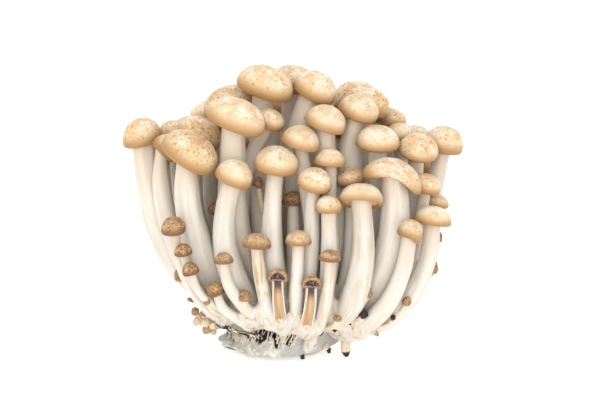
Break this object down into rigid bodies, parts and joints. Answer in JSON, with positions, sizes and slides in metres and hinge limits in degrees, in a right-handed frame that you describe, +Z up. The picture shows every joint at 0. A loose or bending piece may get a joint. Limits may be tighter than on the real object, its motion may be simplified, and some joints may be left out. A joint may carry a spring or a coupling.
{
  "type": "beech mushroom cluster",
  "caption": "Cluster of brown beech mushrooms with speckled tan caps and long ivory stems, all growing from one cut root block that it stands on.",
  "frame": {"origin": "middle of the cluster's box, on the flat cut face under the root block, which is the level that it stands on", "axes": "+X to the right as the cluster is seen from its front, +Y to its back, +Z up along the stems"},
  "size_m": [0.1244, 0.089, 0.1066],
  "materials": {
    "grown_mushroom": "satin",
    "young_mushroom": "matte",
    "root_block": "matte"
  },
  "bodies": {
    "root": {"back_mushroom_01": "grown_mushroom", "back_mushroom_02": "grown_mushroom", "back_mushroom_03": "grown_mushroom", "back_mushroom_04": "grown_mushroom", "back_mushroom_05": "grown_mushroom", "back_mushroom_06": "grown_mushroom", "back_mushroom_07": "grown_mushroom", "back_mushroom_08": "grown_mushroom", "back_mushroom_09": "grown_mushroom", "back_mushroom_10": "grown_mushroom", "back_mushroom_11": "grown_mushroom", "back_mushroom_12": "grown_mushroom", "crown_mushroom_01": "grown_mushroom", "crown_mushroom_02": "grown_mushroom", "crown_mushroom_03": "grown_mushroom", "crown_mushroom_04": "grown_mushroom", "crown_mushroom_05": "grown_mushroom", "crown_mushroom_06": "grown_mushroom", "crown_mushroom_07": "grown_mushroom", "crown_mushroom_08": "grown_mushroom", "crown_mushroom_09": "grown_mushroom", "crown_mushroom_10": "grown_mushroom", "crown_mushroom_11": "grown_mushroom", "front_mushroom_01": "grown_mushroom", "front_mushroom_02": "grown_mushroom", "front_mushroom_03": "grown_mushroom", "front_mushroom_04": "grown_mushroom", "front_mushroom_05": "grown_mushroom", "front_mushroom_06": "grown_mushroom", "front_mushroom_07": "grown_mushroom", "front_mushroom_08": "grown_mushroom", "left_mushroom_01": "grown_mushroom", "left_mushroom_02": "grown_mushroom", "left_mushroom_03": "grown_mushroom", "left_mushroom_04": "grown_mushroom", "left_mushroom_05": "grown_mushroom", "left_mushroom_06": "grown_mushroom", "left_mushroom_07": "grown_mushroom", "right_mushroom_01": "grown_mushroom", "right_mushroom_02": "grown_mushroom", "right_mushroom_03": "grown_mushroom", "right_mushroom_04": "grown_mushroom", "right_mushroom_05": "grown_mushroom", "right_mushroom_06": "grown_mushroom", "right_mushroom_07": "grown_mushroom", "right_mushroom_08": "grown_mushroom", "right_mushroom_09": "grown_mushroom", "right_mushroom_10": "grown_mushroom", "right_mushroom_11": "grown_mushroom", "root_block": "root_block", "young_mushroom_01": "young_mushroom", "young_mushroom_02": "young_mushroom", "young_mushroom_03": "young_mushroom", "young_mushroom_04": "young_mushroom", "young_mushroom_05": "young_mushroom", "young_mushroom_06": "young_mushroom", "young_mushroom_07": "young_mushroom", "young_mushroom_08": "young_mushroom", "young_mushroom_09": "young_mushroom", "young_mushroom_10": "young_mushroom"}
  },
  "joints": []
}
